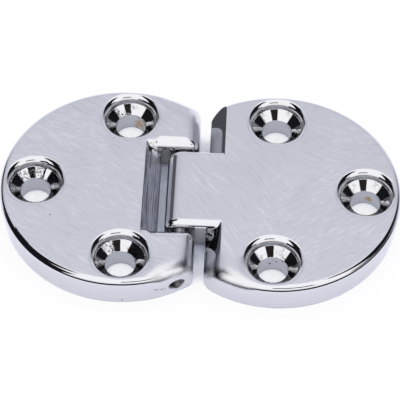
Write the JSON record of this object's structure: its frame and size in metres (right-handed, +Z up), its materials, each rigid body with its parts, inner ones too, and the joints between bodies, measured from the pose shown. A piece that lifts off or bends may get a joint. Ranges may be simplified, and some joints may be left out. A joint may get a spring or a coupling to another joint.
{
  "type": "flap hinge",
  "caption": "Oval flap hinge: two round-ended chromed leaves with countersunk screw holes, joined by a tongue between ears on a hidden pin.",
  "frame": {"origin": "middle of the oval outline, on the underside the leaves rest on", "axes": "+X across the hinge line towards the tongue leaf, +Y along the pin, +Z up from the leaves' faces"},
  "size_m": [0.0648, 0.0398, 0.0057],
  "materials": {
    "eared_leaf_chrome": "polished chrome plate with fine scuffs",
    "tongue_leaf_chrome": "polished chrome plate with fine scuffs",
    "pin_steel": "plain bright steel"
  },
  "bodies": {
    "eared_leaf_body": {"eared_leaf": "eared_leaf_chrome", "hinge_pin": "pin_steel"},
    "tongue_leaf_body": {"tongue_leaf": "tongue_leaf_chrome"}
  },
  "joints": [
    {"name": "leaf_fold", "type": "hinge", "parent": "eared_leaf_body", "child": "tongue_leaf_body", "pos_m": [-0.003, 0, 0.0024], "axis": [0, -1, 0], "range_deg": [-110, 100]}
  ]
}
